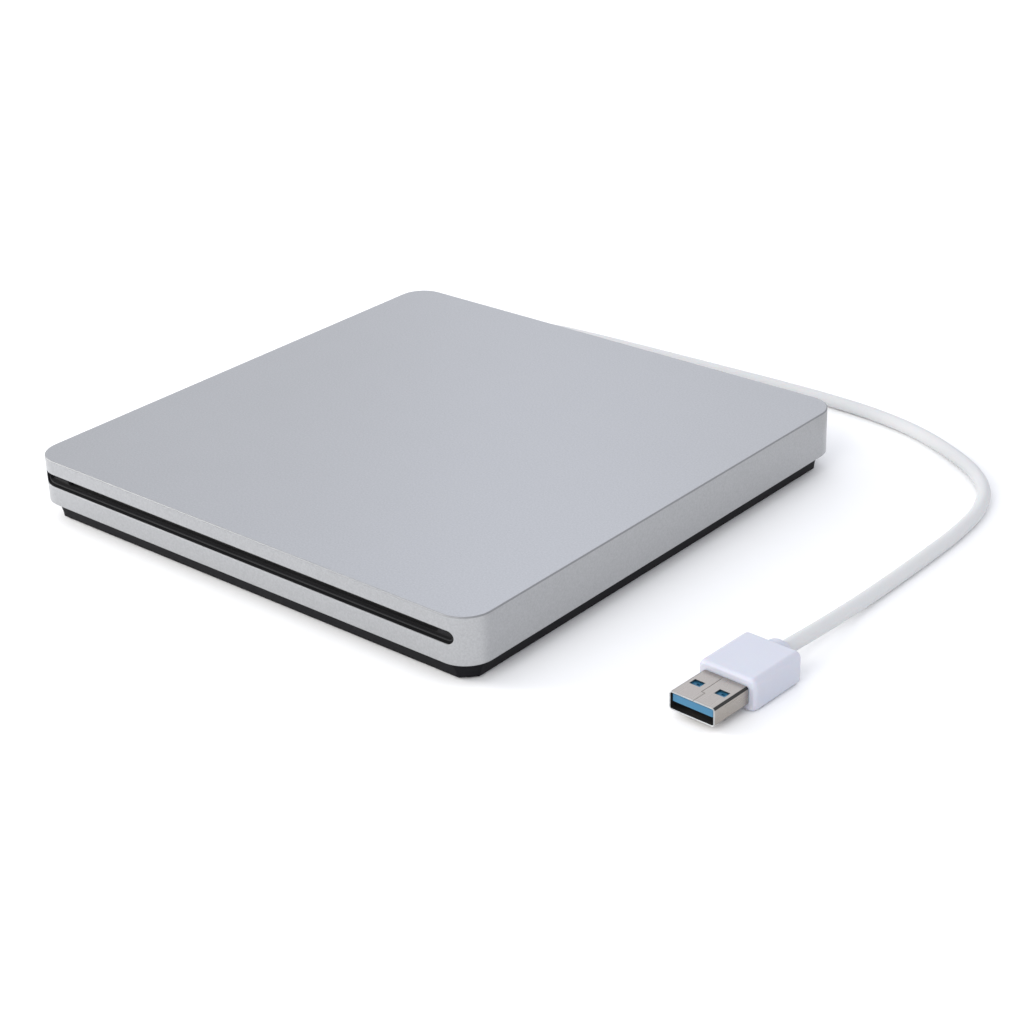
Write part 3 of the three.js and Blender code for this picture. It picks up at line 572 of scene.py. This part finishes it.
def add_tongue():
    """The blue insulator, with a notch under each window, and the four contacts under it."""
    half_x, low, high = 5.35 * MM, -0.2 * MM, 1.65 * MM
    front, rear = MOUTH_Y + 0.4 * MM, METAL_END_Y
    outline = rounded(half_x, (high - low) / 2, 0.15 * MM, 3)
    ends = [(0.95, front), (1, front + 0.1 * MM), (1, rear)]
    mesh = loft([standing([p * share for p in outline], y, (low + high) / 2) for share, y in ends])
    notches = []
    for side in (-1, 1):
        window = Vector((side * WINDOW_X, WINDOW_Y, high))
        near = window + Vector((-0.45, 0.1, -0.7)) * MM
        notches.append(block(near, window + Vector((0.45, 0.8, 1)) * MM))
    mesh = carve(mesh, *notches)
    mesh.transform(PLUG_FRAME)
    tongue = piece("plug_insulator", mesh, "blue_insulator", ["plug_tongue"])
    strips = bmesh.new()
    for x in (-3.5, -1, 1, 3.5):
        strip_low = Vector(((x - 0.5) * MM, front + 0.8 * MM, low - 0.12 * MM))
        strip_high = Vector(((x + 0.5) * MM, rear - 3 * MM, low - 0.01 * MM))
        strips.from_mesh(block(strip_low, strip_high))
    mesh = to_mesh(strips)
    mesh.transform(PLUG_FRAME)
    mesh.materials.append(GOLD)
    contacts = piece("plug_contacts", mesh, "bright_steel", edge=0.04 * MM)
    return tongue, contacts


# ---- Housing ----

def slot_outline(spread):
    """The slot's outline about its own middle, with stops where its long sides pass the wall's corners."""
    corners = round_ended(SLOT_HALF_LENGTH + spread, SLOT_HALF_HEIGHT + spread, 16)
    flat = SHELL_HIGH.x - CORNER
    stops = sorted(side * (flat + 0.4 * MM * k) - SLOT_X for side in (-1, 1) for k in range(9))
    clear = 0.01 * MM
    points = []
    for p, q in zip(corners, corners[1:] + corners[:1]):
        points.append(p)
        if abs(p.x - q.x) > flat:
            passed = [x for x in stops if min(p.x, q.x) + clear < x < max(p.x, q.x) - clear]
            points += [Vector((x, p.y)) for x in (passed if p.x < q.x else reversed(passed))]
    return points


def slot_ring(spread, depth, flat=None):
    """The slot's outline at a depth behind the wall's curved face, or flat on one plane."""
    points = []
    for p in slot_outline(spread):
        beyond = max(0.0, abs(SLOT_X + p.x) - (SHELL_HIGH.x - CORNER))
        face = SHELL_LOW.y + CORNER - math.sqrt(CORNER**2 - beyond**2)
        points.append(Vector((SLOT_X + p.x, face + depth if flat is None else flat, SLOT_Z + p.y)))
    return points


def slot_tool():
    """The disc slot as a cutting tool, which also rounds the slot's edge."""
    rings = [slot_ring(SLOT_EDGE, 0, flat=SHELL_LOW.y - 2 * MM), slot_ring(SLOT_EDGE, -0.4 * MM)]
    proud = 0.015 * MM  # keeps the rounding's outer edge off the wall's face
    for k in range(6):
        turn = math.pi / 2 * k / 5
        rings.append(slot_ring(SLOT_EDGE * (1 - math.sin(turn)), SLOT_EDGE * (1 - math.cos(turn)) - proud))
    rings.append(slot_ring(0, 0, flat=SHELL_LOW.y + 4.2 * MM))
    # The slot's rounding gets the duller grey of painted shade, and its walls through the shell are black
    return paint(loft(rings), SHELL_PAINT, lambda centre, normal: EDGE if abs(normal.y) > 0.05 else INSIDE)


def cable_notch(radius, end, depth):
    """A tool for the notch that the cable's boot sits in: round about the boot, and open towards end."""
    steps = 16
    turn = math.pi if end < CABLE_Z else -math.pi
    points = [Vector((CABLE_X, CABLE_Z)) + radius * direction(turn * k / steps) for k in range(steps + 1)]
    points += [Vector((CABLE_X - radius, end)), Vector((CABLE_X + radius, end))]
    return loft([standing(points, depth), standing(points, SHELL_HIGH.y + 2 * MM)])


def add_top_shell():
    """The shell in one piece, with its slot, its screw bosses and the notch for the cable."""
    half = SHELL_HIGH.x
    top, bottom = SHELL_HIGH.z, SHELL_LOW.z
    chamfer = 0.15 * MM

    def ring(inset, z):
        return level(rounded(half - inset, half - inset, CORNER - inset, 24), z)

    rings = [ring(WALL, top - TOP_WALL), ring(WALL, bottom), ring(chamfer, bottom)]
    rings += [ring(0, bottom + chamfer), ring(0, top - TOP_EDGE)]
    for k in range(1, 7):
        turn = math.pi / 2 * k / 6
        rings.append(ring(TOP_EDGE * (1 - math.cos(turn)), top - TOP_EDGE * (1 - math.sin(turn))))

    def face_paint(centre, normal):
        """Black on the walls and ceiling that face inwards, and on what slopes a duller grey, painted shade
        that dims its highlights.
        """
        if 0.05 < abs(normal.z) < 0.98:
            return EDGE
        ceiling = normal.z < -0.9 and centre.z > bottom + WALL
        return INSIDE if ceiling or normal.x * centre.x + normal.y * centre.y < -1e-6 else OUTSIDE

    mesh = paint(loft(rings), SHELL_PAINT, face_paint)
    bosses, bores = [], []
    for sx, sy in CORNERS.values():
        place = (sx * SCREW_PLACE, sy * SCREW_PLACE, 0)
        foot, head, radius = 8.5 * MM, top - 0.5 * MM, 2.6 * MM
        profile = [(SCREW_BORE, foot), (radius, foot), (radius, head), (0, head)]
        bosses.append(turned(profile, place, steps=24))
        bores.append(turned([(SCREW_BORE, 0), (SCREW_BORE, 13 * MM)], place, steps=24))
    for tool in bosses + bores:
        paint(tool, SHELL_PAINT, lambda centre, normal: INSIDE)
    mesh = carve(mesh, *bosses, operation="UNION")
    notch = cable_notch(2.7 * MM, 0, SHELL_HIGH.y - 3 * MM)
    mesh = carve(mesh, slot_tool(), notch, *bores)
    piece("shell_cover", mesh, "silver_shell", ["top_shell", "shell_front_sill"])


def add_base_tray():
    """The tapered tray, with its screw posts, foot recesses and the notch for the cable's boot."""
    half = TRAY_HIGH.x
    corner = CORNER - SEAM_INSET
    bottom, rim, seam = TRAY_LOW.z, TRAY_HIGH.z, SHELL_LOW.z
    rings = [level(rounded(TRAY_CAVITY, TRAY_CAVITY, 3 * MM, 16), z) for z in (bottom + TRAY_FLOOR, rim)]
    rings += [level(rounded(half, half, corner, 16), z) for z in (rim, seam)]
    lower = half - TRAY_TAPER
    edge = 0.15 * MM
    for half_width, z in ((lower + edge * 0.3, bottom + edge), (lower - edge, bottom)):
        rings.append(level(rounded(half_width, half_width, TRAY_CHAMFER, 16, flat=1), z))
    mesh = loft(rings)
    post = [(2.9 * MM, bottom + 0.2 * MM), (2.9 * MM, rim)]
    head = [(2.35 * MM, 0), (2.2 * MM, bottom + 0.15 * MM), (2.2 * MM, 2.8 * MM)]
    bore = [(SCREW_BORE, 0), (SCREW_BORE, 20 * MM)]
    recess = [(5.45 * MM, 0), (5.3 * MM, bottom + 0.1 * MM), (5.3 * MM, bottom + 0.3 * MM)]
    posts, tools = [], []
    for sx, sy in CORNERS.values():
        screw = (sx * SCREW_PLACE, sy * SCREW_PLACE, 0)
        foot = (sx * FOOT_PLACE, sy * FOOT_PLACE, 0)
        posts.append(turned(post, screw, steps=32))
        tools += [turned(head, screw, steps=32), turned(bore, screw, steps=24), turned(recess, foot)]
    mesh = carve(mesh, *posts, operation="UNION")
    tools.append(cable_notch(3.6 * MM, 20 * MM, TRAY_CAVITY - 1 * MM))
    piece("tray_moulding", carve(mesh, *tools), "black_base", ["base_tray"], crease=28)


def add_feet_and_screws():
    """A dished rubber foot and a cross-head screw under each corner."""
    # The screw's radii and heights are in millimetres
    screw = [(0, 1.2), (1.6, 1.2), (1.82, 1.3), (1.9, 1.5), (1.9, 2.5)]
    screw += [(0.95, 2.5), (0.95, 11.4), (0.4, 12), (0, 12)]
    for corner, (sx, sy) in CORNERS.items():
        low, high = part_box(f"foot_{corner}")
        radius, height = (high.x - low.x) / 2, high.z
        profile = [(0, 0.08 * MM), (radius * 0.55, 0.08 * MM), (radius * 0.62, 0), (radius - 0.25 * MM, 0)]
        profile += [(radius - 0.07 * MM, 0.07 * MM), (radius, 0.25 * MM), (radius, height), (0, height)]
        mesh = turned(profile, (sx * FOOT_PLACE, sy * FOOT_PLACE, 0))
        piece(f"foot_pad_{corner}", mesh, "rubber", [f"foot_{corner}"])
        place = Vector((sx * SCREW_PLACE, sy * SCREW_PLACE, 0))
        mesh = turned([(r * MM, h * MM) for r, h in screw], place, steps=32)
        cross = []
        for half_x, half_y in ((0.85, 0.18), (0.18, 0.85)):
            near, far = Vector((-half_x, -half_y, 1)) * MM, Vector((half_x, half_y, 1.75)) * MM
            cross.append(block(place + near, place + far))
        mesh = carve(mesh, *cross)
        piece(f"screw_{corner}", mesh, "bright_steel", [f"case_screw_{corner}"])


def add_slot_liner():
    """A collar that lines the slot, on a plate behind the wall."""
    low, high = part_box("slot_lip_lower")[0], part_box("slot_lip_upper")[1]
    outer, inner, lip = -0.3 * MM, -0.7 * MM, 0.12 * MM  # the collar's faces, from the slot's
    # Depths behind the wall's face
    front, floor, plate_front, back = 0.8 * MM, 1.9 * MM, 2.1 * MM, 2.7 * MM
    # The disc's way through is shorter and lower than the collar, and centred on the drive
    narrower, lower = 61.8 * MM / (SLOT_HALF_LENGTH + inner), 0.9

    def disc_way(depth):
        y = SHELL_LOW.y + depth
        return [Vector((p.x * narrower, y, SLOT_Z + p.y * lower)) for p in slot_outline(inner)]

    def plate(depth):
        margin = 0.1 * MM
        points = slot_ring(margin, depth)
        for p in points:
            rise = (p.z - SLOT_Z) / (SLOT_HALF_HEIGHT + margin)
            p.z = SLOT_Z + rise * (high.z - SLOT_Z if rise > 0 else SLOT_Z - low.z)
        return points

    rings = [slot_ring(outer, plate_front), slot_ring(outer, front + lip), slot_ring(outer - lip, front)]
    rings += [slot_ring(inner, front + lip), slot_ring(inner, floor), disc_way(floor), disc_way(back)]
    rings += [plate(back), plate(plate_front)]
    piece("slot_collar", loft(rings, closed=True), "liner_black", ["slot_lip_upper", "slot_lip_lower"])


def add_felt():
    """Felt strips above and below the disc's path, their faces slightly uneven."""
    count = 160
    for name in ("felt_strip_upper", "felt_strip_lower"):
        low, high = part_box(name)
        middle, half = (low + high) / 2, (high - low) / 2
        rings = []
        for k in range(count + 1):
            x = low.x + (high.x - low.x) * k / count
            pinch = 1.0 if 0 < k < count else 0.85
            share = pinch * (1 - 0.03 * (1 + math.sin(k * 2.3) * math.sin(k * 0.7 + 1)))
            outline = rounded(half.y * share, half.z * share, 0.3 * MM, 4)
            rings.append([Vector((x, middle.y + p.x, middle.z + p.y)) for p in outline])
        piece(f"{name}_pad", loft(rings), "felt", [name], crease=60)


# ---- Pieces kept from the CAD ----

def smoothing_group():
    """Geometry nodes that smooth faces over shallow edges and keep sharp ones."""
    group = bpy.data.node_groups.new("smooth_shallow_edges", "GeometryNodeTree")
    group.interface.new_socket("Geometry", in_out="INPUT", socket_type="NodeSocketGeometry")
    group.interface.new_socket("Geometry", in_out="OUTPUT", socket_type="NodeSocketGeometry")
    start, end = group.nodes.new("NodeGroupInput"), group.nodes.new("NodeGroupOutput")
    angle = group.nodes.new("GeometryNodeInputMeshEdgeAngle")
    shallow = group.nodes.new("FunctionNodeCompare")
    shallow.operation = "LESS_EQUAL"
    shallow.inputs["B"].default_value = math.radians(38)
    faces, edges = (group.nodes.new("GeometryNodeSetShadeSmooth") for _ in range(2))
    faces.domain, edges.domain = "FACE", "EDGE"
    group.links.new(angle.outputs["Unsigned Angle"], shallow.inputs["A"])
    group.links.new(start.outputs[0], faces.inputs["Geometry"])
    group.links.new(faces.outputs["Geometry"], edges.inputs["Geometry"])
    group.links.new(shallow.outputs["Result"], edges.inputs["Shade Smooth"])
    group.links.new(edges.outputs["Geometry"], end.inputs[0])
    return group


def finish_cad_nodes():
    """The pieces inside keep their CAD shape, with eased edges and a real finish."""
    slots = {row["node"]: row["material_slot"] for row in frame["record"]["subparts"]}
    smoothing = smoothing_group()
    for name, node in frame["nodes"].items():
        if node.hide_render:
            continue
        material = BY_SLOT[slots[name]]
        if not node.material_slots:
            node.data.materials.append(material)
        for slot in node.material_slots:
            slot.material = material
        ease_edges(node, 0.08 * MM)
        shading = node.modifiers.new("shading", "NODES")
        shading.node_group = smoothing


# ---- Stage ----

def add_floor():
    """A wide, plain, pale floor, just under the feet."""
    bm = bmesh.new()
    bmesh.ops.create_grid(bm, x_segments=1, y_segments=1, size=30)
    floor = bpy.data.objects.new("floor", to_mesh(bm))
    floor.location.z = -0.1 * MM
    paper = finish("floor", (0.96, 0.96, 0.96), (0.975, 0.975, 0.975), (0.8, 0.9), 0.01, 0)
    floor.data.materials.append(paper)
    bpy.context.scene.collection.objects.link(floor)


def add_light(name, place, size, power, colour):
    """A square soft light that faces the drive."""
    aim = Vector((0, 0, 0.01))
    lamp = bpy.data.lights.new(name, "AREA")
    lamp.shape = "SQUARE"
    lamp.size = size
    lamp.energy = power
    lamp.color = colour
    obj = bpy.data.objects.new(name, lamp)
    obj.location = place
    obj.rotation_mode = "QUATERNION"
    obj.rotation_quaternion = (aim - Vector(place)).to_track_quat("-Z", "Y")
    bpy.context.scene.collection.objects.link(obj)


def add_world():
    """An even, slightly cool light from all round."""
    world = bpy.data.worlds.new("studio")
    bpy.context.scene.world = world
    world.use_nodes = True
    background = world.node_tree.nodes["Background"]
    background.inputs["Color"].default_value = (0.965, 0.98, 1.03, 1)
    background.inputs["Strength"].default_value = 1


# ---- The whole scene ----

add_camera()
cable, cable_length = add_cable()
boot = add_boot()
grip = add_grip()
metal = add_metal_shell()
tongue, contacts = add_tongue()
add_top_shell()
add_base_tray()
add_feet_and_screws()
add_slot_liner()
add_felt()
finish_cad_nodes()
add_floor()
add_world()
WARM, COOL = (1, 0.985, 0.95), (0.8, 0.85, 1)
add_light("left", (-1.1, -0.6, 0.5), size=0.6, power=13.4, colour=WARM)
add_light("front", (0.2, -1.1, 0.6), size=0.6, power=5, colour=WARM)
add_light("rear_left", (-0.75, 0.75, 0.85), size=0.5, power=0.4, colour=COOL)
add_light("rear", (-0.4, 0.8, 0.6), size=0.6, power=0.33, colour=COOL)
bpy.context.scene.view_settings.view_transform = "Standard"
